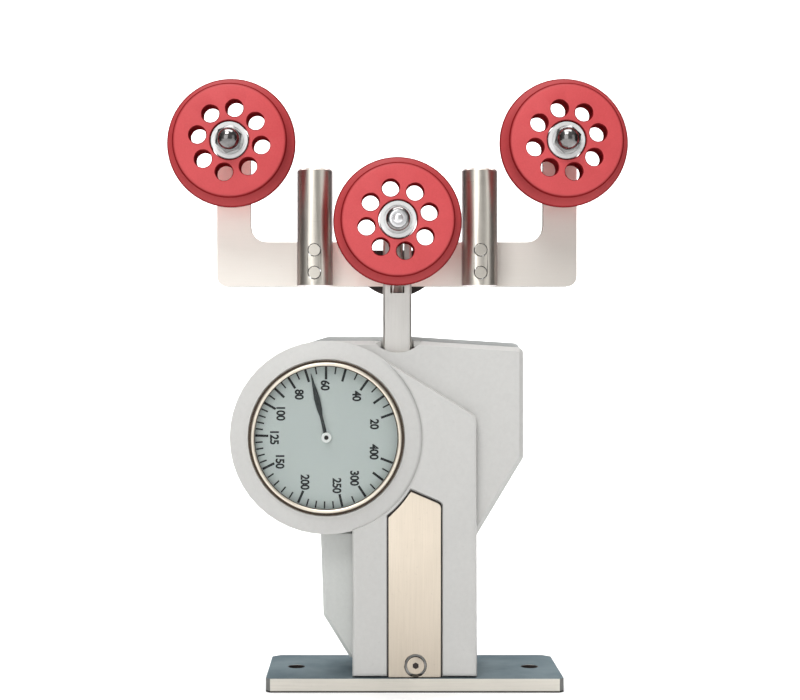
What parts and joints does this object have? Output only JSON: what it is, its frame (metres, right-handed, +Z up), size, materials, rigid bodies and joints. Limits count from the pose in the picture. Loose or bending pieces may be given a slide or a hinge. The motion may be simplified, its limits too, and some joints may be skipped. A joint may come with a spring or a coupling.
{
  "type": "tension meter",
  "caption": "Bench tension meter with grooved rollers on a lifting yoke, a sprung measuring roller, a thumb lever and a round dial on a base plate",
  "frame": {"origin": "underside of the base plate, at the middle of its length, on the plane of the stem's guides (the plate runs 27.5 mm to the front of it and 17.5 mm to the back)", "axes": "+Z up, -Y the way the dial and the rollers face, +X to the right of the dial"},
  "size_m": [0.169, 0.0528, 0.2231],
  "materials": {
    "base_steel": "ground steel, bluish",
    "cast_paint": "light grey satin paint on a casting",
    "lever_paint": "light grey satin paint",
    "brushed_steel": "brushed, warm reflections",
    "polished_steel": "polished steel",
    "chrome": "bright plating",
    "bearing_steel": "ground bearing steel",
    "dark_steel": "blackened steel",
    "brass": "satin brass",
    "dial_grey": "pale blue-grey dial paint",
    "pointer_black": "matt black paint",
    "seal_rubber": "black rubber",
    "clear_glass": "clear",
    "spring_steel": "spring wire",
    "roller_red": "red, matt"
  },
  "bodies": {
    "housing": {"base_plate": "base_steel", "base_screw_1": "dark_steel", "base_screw_2": "dark_steel", "foot_block": "brushed_steel", "front_housing": "cast_paint", "rear_housing": "cast_paint", "housing_screw_1": "dark_steel", "housing_screw_2": "dark_steel", "housing_screw_3": "dark_steel", "housing_screw_4": "dark_steel", "inlay_plate": "brushed_steel", "inlay_screw": "brushed_steel", "bezel_ring": "brushed_steel", "dial_glass": "clear_glass", "glass_seal": "seal_rubber", "dial_face": "dial_grey", "movement_plate": "brass", "movement_bridge": "brass", "sector_arbor": "polished_steel", "mechanism_frame": "brushed_steel", "lever_pivot_pin": "polished_steel", "measuring_spring": "spring_steel", "return_spring": "spring_steel"},
    "yoke": {"yoke_stem": "brushed_steel", "lift_pin": "polished_steel", "yoke_plate": "brushed_steel", "stem_clamp": "dark_steel", "stem_screw_1": "dark_steel", "stem_screw_2": "dark_steel", "guide_post_left": "polished_steel", "guide_post_right": "polished_steel", "post_pin_left_1": "polished_steel", "post_pin_left_2": "polished_steel", "post_pin_right_1": "polished_steel", "post_pin_right_2": "polished_steel", "left_axle": "polished_steel", "right_axle": "polished_steel", "left_washer": "polished_steel", "right_washer": "polished_steel", "left_spacer": "brushed_steel", "right_spacer": "brushed_steel", "left_nut": "chrome", "right_nut": "chrome"},
    "gauge_rod": {"measuring_rod": "polished_steel", "drive_pin": "polished_steel", "middle_spacer": "brushed_steel", "middle_washer": "polished_steel", "middle_nut": "chrome"},
    "left_wheel": {"left_roller": "roller_red", "left_bearing": "bearing_steel"},
    "middle_wheel": {"middle_roller": "roller_red", "middle_bearing": "bearing_steel"},
    "right_wheel": {"right_roller": "roller_red", "right_bearing": "bearing_steel"},
    "lever": {"thumb_lever": "lever_paint"},
    "sector": {"sector_gear": "brass"},
    "pointer_set": {"pointer": "pointer_black", "pointer_arbor": "polished_steel"}
  },
  "joints": [
    {"name": "yoke_slide", "type": "slide", "parent": "housing", "child": "yoke", "axis": [0, 0, 1], "range_m": [0, 0.013], "stiffness_N_per_m": 600, "springref_m": -0.012, "deforming": ["return_spring"]},
    {"name": "thumb_lever_hinge", "type": "hinge", "parent": "housing", "child": "lever", "pos_m": [-0.017, -0.0105, 0.014], "axis": [0, 1, 0], "range_deg": [0, 15.01]},
    {"name": "measuring_slide", "type": "slide", "parent": "housing", "child": "gauge_rod", "axis": [0, 0, -1], "range_m": [-0.00122, 0.00278], "stiffness_N_per_m": 4500, "deforming": ["measuring_spring"]},
    {"name": "sector_hinge", "type": "hinge", "parent": "housing", "child": "sector", "pos_m": [-0.01392, -0.021, 0.07822], "axis": [0, 1, 0], "range_deg": [-8.94, 20.39]},
    {"name": "pointer_hinge", "type": "hinge", "parent": "housing", "child": "pointer_set", "pos_m": [-0.032, -0.026, 0.092], "axis": [0, -1, 0], "range_deg": [-103.7, 236.5]},
    {"name": "left_roller_spin", "type": "hinge", "parent": "yoke", "child": "left_wheel", "pos_m": [-0.067, -0.023, 0.1995], "axis": [0, 1, 0], "continuous": true},
    {"name": "middle_roller_spin", "type": "hinge", "parent": "gauge_rod", "child": "middle_wheel", "pos_m": [-0.0061, -0.023, 0.1709], "axis": [0, 1, 0], "continuous": true},
    {"name": "right_roller_spin", "type": "hinge", "parent": "yoke", "child": "right_wheel", "pos_m": [0.0548, -0.023, 0.1995], "axis": [0, 1, 0], "continuous": true}
  ],
  "couplings": [
    {"joint": "thumb_lever_hinge", "follows": "yoke_slide", "rad_per_m": 20.138},
    {"joint": "sector_hinge", "follows": "measuring_slide", "rad_per_m": 127.89},
    {"joint": "pointer_hinge", "follows": "measuring_slide", "rad_per_m": 1483.5}
  ]
}
